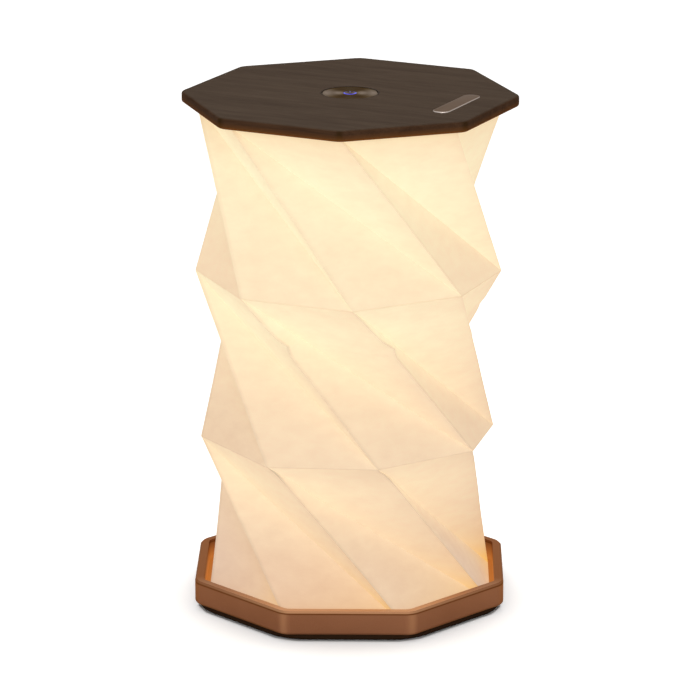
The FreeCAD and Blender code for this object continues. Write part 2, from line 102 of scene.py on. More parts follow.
def calculate(tree, operation, *values, **settings):
    """The result of a Math node."""
    return add_node(tree, "Math", dict(enumerate(values)), operation=operation, **settings).outputs[0]


def between(tree, value, start, end, low=0.0, high=1.0, **settings):
    """Turns a value from start to end into one from low to high, and keeps it within them."""
    return add_node(tree, "MapRange", {
        "Value": value, "From Min": start, "From Max": end, "To Min": low, "To Max": high},
        **settings).outputs[0]


def mix(tree, share, first, second):
    """The first colour where the share is 0, and the second where it is 1."""
    return add_node(tree, "Mix", {0: share, 6: first, 7: second}, data_type="RGBA").outputs[2]


def split(tree, vector):
    """The X, Y and Z of a vector."""
    return add_node(tree, "SeparateXYZ", {0: vector}).outputs


def wave_round(tree, vector, peaks, start=0.0):
    """A cosine wave round the upright axis with this many peaks, one of them at the start angle."""
    apart = split(tree, vector)
    around = calculate(tree, "ARCTAN2", apart["Y"], apart["X"])
    return calculate(tree, "COSINE", calculate(tree, "MULTIPLY_ADD", around, float(peaks), -peaks * start))


def stretch(tree, place, *sizes):
    """Coordinates for noise with blots of this length, width and height in millimetres."""
    return add_node(tree, "Mapping", {
        "Vector": place, "Scale": [1 / (size * MM) for size in sizes]}).outputs[0]


def relief(tree, height, strength, depth):
    """A bumpy surface, with bumps of this depth in millimetres."""
    return add_node(tree, "Bump", {
        "Height": height, "Strength": strength, "Distance": depth * MM}).outputs[0]


def new_finish(name, **constants):
    """A material with a Principled shader; constants go straight on the shader's sockets."""
    material = bpy.data.materials.new(name)
    material.use_nodes = True
    shader = material.node_tree.nodes["Principled BSDF"]
    connect(shader, {socket.replace("_", " "): value for socket, value in constants.items()})
    return material, material.node_tree, shader


def paint_over(shader, share, colour):
    """Lays another colour over the one that the shader has, by a share from 0 to 1."""
    below = shader.inputs["Base Color"].links[0].from_socket
    connect(shader, {"Base Color": mix(shader.id_data, share, below, colour)})


# %% [markdown]
# ## Camera
#
# The photograph was taken from far away with a long lens, a little above the lamp. A camera
# fitted to the corners of the lid and the tray gave the distance, the height and the lens. It
# is set with those numbers here, so that the picture can be laid over the photograph.

# %% Camera
CAMERA_AIM = (0.0, 0.0, 123.2)
CAMERA_DISTANCE = 1923.5
CAMERA_PITCH = math.radians(16.23)
CAMERA_AZIMUTH = math.radians(0.8)
LENS = 203.8

camera_data = bpy.data.cameras.new("camera")
camera_data.lens = LENS
camera_data.sensor_width = 36.0
camera_data.clip_end = 20.0
camera = bpy.data.objects.new("camera", camera_data)
bpy.context.scene.collection.objects.link(camera)
level = CAMERA_DISTANCE * math.cos(CAMERA_PITCH)
camera.location = (
    (CAMERA_AIM[0] + level * math.sin(CAMERA_AZIMUTH)) * MM,
    (CAMERA_AIM[1] - level * math.cos(CAMERA_AZIMUTH)) * MM,
    (CAMERA_AIM[2] + CAMERA_DISTANCE * math.sin(CAMERA_PITCH)) * MM,
)
camera.rotation_euler = (math.pi / 2 - CAMERA_PITCH, 0.0, CAMERA_AZIMUTH)
bpy.context.scene.camera = camera
bpy.context.scene.view_settings.view_transform = "Standard"
print("camera at", [round(c, 3) for c in camera.location])

# %% [markdown]
# ## Studio
#
# A product picture on white is usually shot in a light tent: soft light from above, from the
# front and from both sides, and white all round. Four area lamps and a pale world do that. The
# world and the floor are white only for rays that come from the camera or from a mirror, so that
# the white background adds no light to the lamp. Close to the base the floor adds less of its
# own white, a painted shadow that deepens the soft shadow there. Under the base plate it adds
# none, a painted shade for the narrow gap between the plate and the table.

# %% World
def white_for_eyes(tree):
    """1 for a ray from the camera, a mirror or glass, and 0 for one that only carries light."""
    path = add_node(tree, "LightPath").outputs
    seen = calculate(tree, "MAXIMUM", path["Is Camera Ray"], path["Is Glossy Ray"])
    return calculate(tree, "MAXIMUM", seen, path["Is Transmission Ray"])


WORLD_LEVEL = 0.24
world = bpy.data.worlds.new("light_tent")
world.use_nodes = True
bpy.context.scene.world = world
tree = world.node_tree
tree.nodes.clear()
fill = add_node(tree, "Background", {"Color": linear("#fffaf4"), "Strength": WORLD_LEVEL})
white = add_node(tree, "Background", {"Color": linear("#ffffff"), "Strength": 1.0})
both = add_node(tree, "MixShader", {
    0: white_for_eyes(tree), 1: fill.outputs[0], 2: white.outputs[0]})
add_node(tree, "OutputWorld", {"Surface": both.outputs[0]})
print("world at", WORLD_LEVEL)

# %% Floor
FLOOR_SIZE = 6.0
# The floor's own white near the base and far from it, lower near the base as a painted shadow,
# and where it changes: how far forward the painted shadow's middle lies, and its reach.
FLOOR_WHITE = (0.305, 0.75)
SHADOW_MIDDLE = -12.0
SHADOW_REACH = (62.0, 103.0)
# Where the painted shade of the dark gap under the plate ends, and how far its rounded corners
# stand out past that.
CONTACT_REACH = (73.2, 74.0)
PLATE_CORNER_REACH = 3.9
bpy.ops.object.select_all(action="DESELECT")
bpy.ops.mesh.primitive_plane_add(size=FLOOR_SIZE, location=(0, 0, 0))
floor = bpy.context.object
floor.name = "floor"
material, tree, shader = new_finish(
    "white_seamless_paper", Base_Color=linear("#e6e6e6"), Roughness=0.9, Specular_IOR_Level=0.0,
    Emission_Color=linear("#ffffff"))
place = add_node(tree, "TexCoord").outputs["Object"]
from_middle = add_node(tree, "VectorMath", {
    0: place, 1: (0, SHADOW_MIDDLE * MM, 0)}, operation="DISTANCE").outputs["Value"]
painted_shadow_white = between(tree, from_middle, SHADOW_REACH[0] * MM, SHADOW_REACH[1] * MM, *FLOOR_WHITE)
# The plate's outline: the farthest of eight sides, with the corners cut by a circle.
lengths = add_node(tree, "VectorMath", {0: place}, operation="ABSOLUTE").outputs[0]
sideways = split(tree, lengths)
slanting = add_node(tree, "VectorMath", {
    0: lengths, 1: (math.sqrt(0.5), math.sqrt(0.5), 0)}, operation="DOT_PRODUCT").outputs["Value"]
straight = calculate(tree, "MAXIMUM", sideways["X"], sideways["Y"])
octagon = calculate(tree, "MAXIMUM", straight, slanting)
across = add_node(tree, "VectorMath", {0: place}, operation="LENGTH").outputs["Value"]
rounding = calculate(tree, "SUBTRACT", across, PLATE_CORNER_REACH * MM)
plate_edge = calculate(tree, "MAXIMUM", octagon, rounding)
# Painted shade: under the plate the floor adds none of its own white.
painted_gap_shade = between(tree, plate_edge, CONTACT_REACH[0] * MM, CONTACT_REACH[1] * MM)
white_with_painted_shade = calculate(tree, "MULTIPLY", painted_shadow_white, painted_gap_shade)
connect(shader, {"Emission Strength": calculate(tree, "MULTIPLY", white_with_painted_shade, white_for_eyes(tree))})
floor.data.materials.append(material)
print("floor", FLOOR_SIZE, "m wide")


# %% Softboxes
def softbox(name, place, aim, width, power):
    """A square area lamp that faces a point."""
    data = bpy.data.lights.new(name, "AREA")
    data.size = width
    data.energy = power
    lamp = bpy.data.objects.new(name, data)
    bpy.context.scene.collection.objects.link(lamp)
    lamp.location = place
    away = lamp.location.copy()
    for axis in range(3):
        away[axis] -= aim[axis]
    lamp.rotation_euler = away.to_track_quat("Z", "Y").to_euler()
    return lamp


softbox("overhead_softbox", (0.0, 0.3, 1.8), (0, 0, 0.15), 1.6, 13.5)
softbox("front_softbox", (0.0, -2.0, 1.1), (0, 0, 0.12), 0.9, 14.0)
softbox("left_softbox", (-1.2, -1.75, 0.7), (0, 0, 0.12), 0.8, 3.5)
softbox("right_softbox", (1.2, -1.75, 0.7), (0, 0, 0.12), 0.8, 3.5)
print("softboxes:", [light.name for light in bpy.data.lights if light.name.endswith("softbox")])

# %% [markdown]
# ## Walnut
#
# The lid and the plate under the tray are walnut, oiled and stained dark. On the lid the grain
# runs along one pair of sides: fine pores a fraction of a millimetre wide and several
# millimetres long, on slow bands of lighter and darker wood. Noise that is stretched along the
# grain gives both. The cut edge takes more stain, so it is darker and redder than the face, and
# it is darker still at the corners. The lower half of the lid's edge and its underside are close
# to the lit paper, and the warm glow they get from it is painted into their colour. Oiled
# open-pored wood has hardly any gloss.

# %% Walnut finishes
LID_BEARING = -2.7
SIDES = 8
STEP = 360.0 / SIDES
GRAIN_TURN = math.radians(LID_BEARING - STEP / 2)
# Sizes of the grain in millimetres.
PORE_WIDTH = 0.55
PORE_LENGTH = 14.0
BAND_WIDTH = 7.0
BAND_LENGTH = 63.0
# How much of the painted warm glow the edge takes where it is lit from below.
LIT_SHARE = 0.55


def walnut(name, face, edge, painted_glow, corner, lit_height):
    """Oiled walnut; face and edge are (dark, light) pairs. The next colour is the painted glow from
    the lit paper on the lower edge and the underside; lit_height is where that glow is full on
    the edge and where it ends, in millimetres."""
    material, tree, shader = new_finish(name, Specular_IOR_Level=0.01)
    place = add_node(tree, "TexCoord").outputs["Object"]
    turned = add_node(tree, "Mapping", {"Vector": place, "Rotation": (0, 0, -GRAIN_TURN)}).outputs[0]
    # The drawn pores are about twice as wide as real ones, so that they show in a small picture.
    pores = add_node(tree, "TexNoise", {
        "Vector": stretch(tree, turned, PORE_LENGTH, PORE_WIDTH, PORE_WIDTH),
        "Scale": 1.0, "Detail": 3.0, "Roughness": 0.6}).outputs[0]
    bands = add_node(tree, "TexNoise", {
        "Vector": stretch(tree, turned, BAND_LENGTH, BAND_WIDTH, BAND_WIDTH),
        "Scale": 1.0, "Detail": 2.0, "Roughness": 0.5, "Distortion": 0.6}).outputs[0]
    share = between(tree, calculate(tree, "ADD", pores, bands), 0.65, 1.35)
    face_colour, edge_colour = [mix(tree, share, *map(linear, pair)) for pair in (face, edge)]
    facing = add_node(tree, "NewGeometry").outputs["Normal"]
    in_corner = between(tree, wave_round(tree, facing, SIDES, math.radians(LID_BEARING)), -1.0, 0.8)
    side = mix(tree, in_corner, edge_colour, linear(corner))
    painted_glow_share = between(
        tree, split(tree, place)["Z"], lit_height[1] * MM, lit_height[0] * MM, high=LIT_SHARE)
    side_with_painted_glow = mix(tree, painted_glow_share, side, linear(painted_glow))
    upward = split(tree, facing)["Z"]
    above_edge = mix(tree, between(tree, upward, 0.55, 0.98), side_with_painted_glow, face_colour)
    # Faces that look down take the painted glow of the lit paper below them.
    connect(shader, {
        "Base Color": mix(tree, between(tree, upward, -0.1, -0.6), above_edge, linear(painted_glow)),
        "Roughness": between(tree, pores, 0.0, 1.0, 0.8, 0.65),
        "Normal": relief(tree, pores, 0.25, 0.05)})
    return material


finishes = {
    "lid_walnut": walnut("oiled_walnut", ("#473a30", "#584a3e"), ("#3e2a1d", "#523a29"),
                         "#7a4a20", "#3b2816", (246.0, 248.8)),
    "base_walnut": walnut("stained_walnut", ("#2a1a10", "#382518"), ("#2a1a10", "#382518"),
                          "#2a1a10", "#302015", (0.0, 0.5)),
}
print("walnut:", sorted(finishes))

# %% [markdown]
# ## Metals
#
# The tray is aluminium that was blasted with fine grit and anodised: an even satin with a very
# fine grain. Noise as wide as the grit gives the grain to the colour, the gloss and the relief.
# The small metal pieces inside the lamp, which hardly show, take the same recipe with their own
# colours.

# %% Blasted metals
CLOUD_WIDTH = 30.0


def blasted_metal(name, dark, light, roughness, grit):
    """A metal blasted with grit of the given width in millimetres, then anodised."""
    material, tree, shader = new_finish(name, Metallic=1.0)
    place = add_node(tree, "TexCoord").outputs["Object"]
    grain = add_node(tree, "TexNoise", {
        "Vector": place, "Scale": 1 / (grit * MM), "Detail": 2.0, "Roughness": 0.6}).outputs[0]
    cloud = add_node(tree, "TexNoise", {
        "Vector": place, "Scale": 1 / (CLOUD_WIDTH * MM), "Detail": 2.0}).outputs[0]
    share = between(tree, calculate(tree, "ADD", grain, cloud), 0.6, 1.4)
    connect(shader, {
        "Base Color": mix(tree, share, linear(dark), linear(light)),
        "Roughness": between(tree, grain, 0.0, 1.0, roughness - 0.05, roughness + 0.05),
        "Normal": relief(tree, grain, 0.12, 0.03)})
    return material


# Slot: finish, dark and light colour, roughness, and grit in millimetres.
SMALL_METALS = {
    "magnet_nickel": ("nickel_plate", "#a9a7a0", "#b9b7b0", 0.22, 0.6),  # bright, a little yellow
    "screw_steel": ("bright_screw_steel", "#8b8b8d", "#9b9b9d", 0.30, 0.4),  # clean grey shine
    "socket_steel": ("drawn_steel", "#98989a", "#a6a6a8", 0.32, 0.5),  # softer grey shine
    "pin_brass": ("bright_brass", "#b8954a", "#c8a55a", 0.25, 0.4),  # yellow shine
    "battery_foil": ("aluminium_foil", "#b0b2b6", "#c0c2c6", 0.35, 1.5),  # pale and uneven
}
finishes.update({slot: blasted_metal(*recipe) for slot, recipe in SMALL_METALS.items()})
print("finishes so far:", sorted(finishes))

# %% [markdown]
# ## The copper tray
#
# The tray is anodised a copper colour, and a few places on it have light and shade painted in.
# Its rounded corners at the front have a painted highlight that makes them a little lighter. A
# thin line of painted shade runs below the bevel of the rim, and the rim itself has a painted
# highlight that grows towards the front. Inside, the wall and the floor catch the light that
# comes out under the paper, and an orange emission paints that glow in. All of these are found
# from where the surface is and which way it faces.

# %% Corners of the tray
material = blasted_metal("copper_anodised_aluminium", "#744a32", "#80553c", 0.42, 0.35)
tree = material.node_tree
shader = tree.nodes["Principled BSDF"]
connect(shader, {"Specular Tint": linear("#dcc0ac")})
place = add_node(tree, "TexCoord").outputs["Object"]
_, forward, height = split(tree, place)
facing = add_node(tree, "NewGeometry").outputs["Normal"]
faces = split(tree, facing)
# Painted highlight on the rounded corners at the front.
in_corner = between(tree, wave_round(tree, facing, SIDES), 0.9, -1.0)
front_corner_highlight = between(tree, faces["Y"], -0.5, -0.8)
paint_over(shader, calculate(tree, "MULTIPLY", in_corner, front_corner_highlight), linear("#8b6043"))
print("tray finish:", material.name)

# %% Rim of the tray
RIM_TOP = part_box("base_tray")[1][2]
# Millimetres below the rim's top: where the painted shade line starts, and where the bevel does.
RIM_LINE = (1.7, 1.4)
RIM_BEVEL = (1.1, 0.7)
# How far forward the rim's painted highlight grows: from and to.
RIM_FRONT = (-25, -70)
painted_shade_line, on_rim = [between(tree, height, RIM_TOP - start * MM, RIM_TOP - end * MM)
                     for start, end in (RIM_LINE, RIM_BEVEL)]
rim_highlight_share = between(tree, forward, RIM_FRONT[0] * MM, RIM_FRONT[1] * MM)
rim_top, rim_bevel = [mix(tree, rim_highlight_share, *map(linear, pair))
                      for pair in (("#8a5c42", "#dab89c"), ("#7a4d33", "#9d7151"))]
is_level = between(tree, faces["Z"], 0.75, 0.9)
# Painted shade line below the bevel, then the rim and bevel with their painted highlight.
paint_over(shader, painted_shade_line, linear("#5a3216"))
paint_over(shader, on_rim, mix(tree, is_level, rim_bevel, rim_top))
print("tray rim at", round(RIM_TOP / MM, 1), "mm")

# %% Painted light inside the tray
# Millimetres below the rim where the painted glow starts and is full, then its strength.
LIGHT_DEPTH = (0.4, 9.0)
LIGHT_INSIDE = 0.58
flat_place = add_node(tree, "VectorMath", {0: place, 1: (1.0, 1.0, 0.0)}, operation="MULTIPLY").outputs[0]
outward = add_node(tree, "VectorMath", {0: flat_place}, operation="NORMALIZE").outputs[0]
facing_out = add_node(tree, "VectorMath", {
    0: facing, 1: outward}, operation="DOT_PRODUCT").outputs["Value"]
facing_paper = calculate(tree, "SUBTRACT", faces["Z"], facing_out, use_clamp=True)
painted_glow_below_rim = between(
    tree, height, RIM_TOP - LIGHT_DEPTH[0] * MM, RIM_TOP - LIGHT_DEPTH[1] * MM, high=LIGHT_INSIDE)
connect(shader, {
    "Emission Color": linear("#d88238"),
    "Emission Strength": calculate(tree, "MULTIPLY", facing_paper, painted_glow_below_rim)})
finishes["copper_anodised"] = material
print("tray lit to", LIGHT_DEPTH[1], "mm below its rim")

# %% [markdown]
# ## Strip and button
#
# The strip in the lid is bronze-coloured steel, brushed along its length, with a brighter edge
# that is a painted highlight.
# The button is turned on a lathe, which leaves fine rings, and rings catch the light in two fans.
# A radial tangent with strong anisotropy does that without modelling hundreds of grooves. Wider
# grooves and the two fans as painted highlight lie under it, because real ones are too fine for a
# small picture.

# %% Brushed strip
def brushed_metal(name, dark, light, turn, line_width, line_length):
    """Metal brushed along one direction, as scratches a fraction of a millimetre wide."""
    material, tree, shader = new_finish(name, Metallic=1.0)
    place = add_node(tree, "TexCoord").outputs["Object"]
    turned = add_node(tree, "Mapping", {"Vector": place, "Rotation": (0, 0, -turn)}).outputs[0]
    lines = add_node(tree, "TexNoise", {
        "Vector": stretch(tree, turned, line_length, line_width, line_width),
        "Scale": 1.0, "Detail": 3.0}).outputs[0]
    connect(shader, {
        "Base Color": mix(tree, lines, linear(dark), linear(light)),
        "Roughness": between(tree, lines, 0.0, 1.0, 0.3, 0.5),
        "Normal": relief(tree, lines, 0.2, 0.03)})
    return material


INLAY_TURN = math.radians(LID_BEARING + STEP + STEP / 2)
finishes["inlay_steel"] = brushed_metal("brushed_bronze_steel", "#5c4f45", "#786a60", INLAY_TURN, 0.6, 3.0)
tree = finishes["inlay_steel"].node_tree
shader = tree.nodes["Principled BSDF"]
connect(shader, {"Specular Tint": linear("#bdb2aa")})
# Painted highlight: the bevel round the top is painted lighter.
upward = split(tree, add_node(tree, "NewGeometry").outputs["Normal"])["Z"]
paint_over(shader, between(tree, upward, 0.97, 0.8), linear("#b4a9a2"))
print("strip brushed at", round(math.degrees(INLAY_TURN), 1), "degrees")

# %% Turned button
RING_SPACING = 5.655
# How far apart the rings of Blender's wave texture are at scale 1.
WAVE_PERIOD = 2 * math.pi / 20
FANS = 2
material, tree, shader = new_finish(
    "turned_bronze_steel", Metallic=1.0, Roughness=0.34, Anisotropic=0.85,
    Specular_Tint=linear("#9c9892"))
place = add_node(tree, "TexCoord").outputs["Object"]
rings = add_node(tree, "TexWave", {
    "Vector": place, "Scale": WAVE_PERIOD / (RING_SPACING * MM), "Distortion": 0.4, "Detail": 1.0},
    wave_type="RINGS", rings_direction="Z").outputs["Fac"]
# Two fans of painted highlight, lighter to the left and to the right.
painted_fan_share = between(tree, wave_round(tree, place, FANS), -0.3, 1.0)
fan_highlight_colour = mix(tree, painted_fan_share, linear("#5e4d39"), linear("#7c7066"))
in_groove = between(tree, rings, 0.0, 1.0, high=0.35)
connect(shader, {
    "Base Color": mix(tree, in_groove, fan_highlight_colour, linear("#453a2c")),
    "Tangent": add_node(tree, "Tangent", direction_type="RADIAL", axis="Z").outputs[0]})
finishes["button_steel"] = material
print("button rings", RING_SPACING, "mm apart")

# %% [markdown]
# ## Plastics, rubber and boards
#
# Most of these sit inside the lid and show only when it is taken apart. Moulded pieces have a
# fine spark-eroded grain, so one recipe with its own colour, gloss and grain width serves them
# all. The light guide is clear acrylic over a blue diode that sits under its front edge, so it is
# brightest there. The diffuser is opal and lit.

# %% Moulded finishes
def moulded(name, hex_value, roughness, grain_width, **constants):
    """A moulded or coated surface with a fine grain, sizes in millimetres."""
    material, tree, shader = new_finish(name, **constants)
    dark, light = [[min(1.0, c * change) for c in linear(hex_value)[:3]] + [1.0]
                   for change in (0.88, 1.12)]
    grain = add_node(tree, "TexNoise", {
        "Vector": add_node(tree, "TexCoord").outputs["Object"],
        "Scale": 1 / (grain_width * MM), "Detail": 2.0}).outputs[0]
    connect(shader, {
        "Base Color": mix(tree, grain, dark, light),
        "Roughness": between(tree, grain, 0.0, 1.0, roughness - 0.06, roughness + 0.06),
        "Normal": relief(tree, grain, 0.2, 0.02)})
    return material


# Slot: finish, colour, roughness, and grain width in millimetres.
MOULDED_PIECES = {
    "foot_rubber": ("black_rubber", "#161514", 0.8, 0.6),  # dull, with no shine
    "ring_silicone": ("grey_silicone", "#4c4b4a", 0.7, 0.5),  # dull and soft
    "switch_black": ("black_nylon", "#171717", 0.55, 0.4),  # a faint sheen
    "frame_white": ("white_abs", "#d9d6cd", 0.5, 0.5),  # warm white satin
    "board_green": ("green_solder_mask", "#1d4a2b", 0.35, 0.8),  # glossy lacquer
    "led_board_white": ("white_solder_mask", "#dcdbd6", 0.4, 0.8),  # white, to throw light back
    "lead_amber": ("amber_polyimide", "#9a5a1c", 0.4, 0.7),  # smooth amber film
    "led_lens": ("phosphor_silicone", "#e8cf7c", 0.3, 0.5),  # yellow drops
}
finishes.update({slot: moulded(*recipe) for slot, recipe in MOULDED_PIECES.items()})
# The ring round the button is dark and matt, so that the button stands out from it.
finishes["bezel_black"] = moulded("black_anodised_ring", "#3a2f26", 0.7, 0.4, Specular_IOR_Level=0.05)
finishes["diffuser_opal"] = moulded(
    "opal_acrylic", "#efe9dc", 0.45, 0.8, Emission_Color=linear("#ffe6b4"), Emission_Strength=1.0)
print("finishes for", len(finishes), "slots")

# %% Lit guide in the button
# From behind the middle to the diode at the front: millimetres, and the light there.
GUIDE_REACH = (1.5, -3.0)
GUIDE_LIGHT = (0.1, 1.5)
finishes["guide_acrylic"] = moulded(
    "blue_lit_acrylic", "#1e1e58", 0.3, 0.5, Specular_IOR_Level=0.1, Emission_Color=linear("#3338f0"))
tree = finishes["guide_acrylic"].node_tree
forward = split(tree, add_node(tree, "TexCoord").outputs["Object"])["Y"]
from_diode = between(tree, forward, GUIDE_REACH[0] * MM, GUIDE_REACH[1] * MM, *GUIDE_LIGHT)
connect(tree.nodes["Principled BSDF"], {"Emission Strength": from_diode})
print("guide finish:", finishes["guide_acrylic"].name)

# %% [markdown]
# ## Dressing the CAD pieces
#
# Every CAD piece names the slot that its finish goes in. A loop looks up each slot, which is
# quicker than dressing thirty pieces by hand and forgets none. The paper has no finish yet: its
# tiers get new meshes further down, and these are dressed there.

# %% Dress the CAD nodes
slots = {part["node"]: part["material_slot"] for part in frame["record"]["subparts"]}
for name, node in frame["nodes"].items():
    finish = finishes.get(slots[name])
    if finish:
        node.data.materials.clear()
        node.data.materials.append(finish)
print("dressed", len(frame["nodes"]), "CAD nodes")

# %% [markdown]
# ## The strip in the lid
#
# A small metal strip is glued into a pocket in the lid. The CAD strip has sharp edges, and a sharp
# edge never catches the light. This one is drawn as a block at its place, its upright edges are
# rounded to the pocket's corners, and a fine bevel round the top catches the bright line that the
# real one has along its front, helped by a painted highlight in its finish.

# %% Bevelled strip
INLAY_LENGTH = 41.0
INLAY_CORNER = 3.8
INLAY_BEVEL = 0.45
INLAY_PROUD = 0.25
inlay_low, inlay_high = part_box("inlay_plate")
inlay_middle = [(a + b) / 2 for a, b in zip(inlay_low, inlay_high)]
spread = (inlay_high[0] - inlay_low[0]) / MM - 2 * INLAY_CORNER
straight = INLAY_LENGTH - 2 * INLAY_CORNER
inlay_width = (spread - straight * math.cos(INLAY_TURN)) / math.sin(INLAY_TURN) + 2 * INLAY_CORNER
bottom, top = inlay_low[2], inlay_high[2] + INLAY_PROUD * MM
bpy.ops.object.select_all(action="DESELECT")
bpy.ops.mesh.primitive_cube_add(
    size=1, location=(inlay_middle[0], inlay_middle[1], (bottom + top) / 2), rotation=(0, 0, INLAY_TURN))
strip = bpy.context.object
strip.name = strip.data.name = "inlay_strip"
strip.scale = (INLAY_LENGTH * MM, inlay_width * MM, top - bottom)
bpy.ops.object.transform_apply(location=True, rotation=True, scale=True)


def select_edges(piece, wanted):
    """Selects the edges for whose two end points the test holds, and goes on in edit mode."""
    bpy.ops.object.mode_set(mode="EDIT")
    bpy.ops.mesh.select_mode(type="EDGE")
    bpy.ops.mesh.select_all(action="DESELECT")
    bpy.ops.object.mode_set(mode="OBJECT")
    for edge in piece.data.edges:
        edge.select = wanted(*[piece.data.vertices[v].co for v in edge.vertices])
    bpy.ops.object.mode_set(mode="EDIT")


select_edges(strip, lambda a, b: abs(a.z - b.z) > 0.5 * (top - bottom))
bpy.ops.mesh.bevel(offset=INLAY_CORNER * MM, segments=8, affect="EDGES")
select_edges(strip, lambda a, b: min(a.z, b.z) > top - 0.01 * MM)
bpy.ops.mesh.bevel(offset=INLAY_BEVEL * MM, segments=3, affect="EDGES")
bpy.ops.mesh.select_all(action="SELECT")
bpy.ops.mesh.normals_make_consistent(inside=False)
bpy.ops.object.mode_set(mode="OBJECT")
bpy.ops.object.shade_smooth_by_angle(angle=math.radians(30))
strip.data.materials.append(finishes["inlay_steel"])
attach(strip, "lid")
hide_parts("inlay_plate")
print("strip", INLAY_LENGTH, "by", round(inlay_width, 1), "mm,", len(strip.data.polygons), "faces")

# %% [markdown]
# ## The paper shade
#
# Each tier is one folded band of paper between two octagons that are turned against each other.
# From every upper corner a mountain fold runs down to the next lower corner, and a valley fold
# to the one after it. By hand this is simple: draw the lower octagon, extrude it upwards, turn
# and scale the upper ring, and split the twisted faces along their longer diagonal. The shade is
# folded by hand, so no corner is quite where the pattern has it, and some are nudged a little. A
# fine subdivision then gives the paper enough points to bend softly.

# %% Fold one tier
# The four octagons, from the tray up: corner radius and height in millimetres, bearing in degrees.
RINGS = [(74.25, 22.5, 4.6), (71.55, 11.7, 83.4), (73.35, 1.6, 164.1), (74.25, -2.7, 245.4)]


def fold_band(name, low, high):
    """A twisted band of triangles between two octagons of (corner radius, bearing, height)."""
    bpy.ops.object.select_all(action="DESELECT")
    bpy.ops.mesh.primitive_circle_add(
        vertices=SIDES, radius=low[0] * MM,
        location=(0, 0, low[2] * MM), rotation=(0, 0, math.radians(low[1])))
    band = bpy.context.object
    band.name = band.data.name = name
    bpy.ops.object.transform_apply(location=True, rotation=True, scale=True)
    bpy.ops.object.mode_set(mode="EDIT")
    bpy.ops.mesh.select_all(action="SELECT")
    bpy.ops.mesh.extrude_region_move(TRANSFORM_OT_translate={"value": (0, 0, (high[2] - low[2]) * MM)})
    centre = (0, 0, high[2] * MM)
    growth = high[0] / low[0]
    bpy.ops.transform.resize(value=(growth, growth, 1), center_override=centre)
    # With no window, rotate turns the other way, so the turn is from the upper ring to the lower.
    turn = math.radians(low[1] - high[1] + STEP)
    bpy.ops.transform.rotate(value=turn, orient_axis="Z", center_override=centre)
    bpy.ops.mesh.select_all(action="SELECT")
    bpy.ops.mesh.quads_convert_to_tris(quad_method="LONGEST_DIAGONAL")
    bpy.ops.mesh.normals_make_consistent(inside=False)
    bpy.ops.object.mode_set(mode="OBJECT")
    return band


print("rings at", [ring[2] for ring in RINGS], "mm")


# %% Nudge the corners
def bearing_of(point):
    """Degrees round the lamp, from its front to its right."""
    return math.degrees(math.atan2(point[0], -point[1]))


def corner_number(point, ring):
    """Which of the ring's corners the point is nearest to."""
    return round((bearing_of(point) - ring[1]) / STEP) % SIDES


# Ring and corner number: millimetres outwards, degrees round, millimetres up.
NUDGES = {
    (1, 6): (1.6, -0.9, -0.2), (1, 7): (0.1, 0.6, -0.9), (1, 0): (-0.6, -0.2, 1.1),
    (1, 1): (-0.7, 0.1, 0.9), (1, 2): (-0.2, -0.4, -2.3),
    (2, 6): (1.0, -0.6, -0.6), (2, 7): (0.2, 0.1, -0.6), (2, 0): (0.5, 0.2, -1.0),
    (2, 1): (-0.2, 0.0, 0.3), (2, 2): (-0.5, 0.0, -1.2),
    (3, 6): (-1.0, 0.0, 0.0), (3, 2): (-1.7, 0.0, 0.0),
}


def nudge_corners(band, number):
    """Moves the corners of a tier's two rings a little off the pattern."""
    middle = (RINGS[number][2] + RINGS[number + 1][2]) / 2
    for vertex in band.data.vertices:
        ring = number + (vertex.co.z / MM > middle)
        key = (ring, corner_number(vertex.co, RINGS[ring]))
        outwards, around, up = NUDGES.get(key, (0, 0, 0))
        radius = math.hypot(vertex.co.x, vertex.co.y) + outwards * MM
        turn = math.radians(bearing_of(vertex.co) + around)
        vertex.co = (radius * math.sin(turn), -radius * math.cos(turn), vertex.co.z + up * MM)


print("corners to nudge:", len(NUDGES))

# %% Mark the folds
# Distances are stored in UV maps, as parts of this many millimetres.
UV_UNIT = 100.0


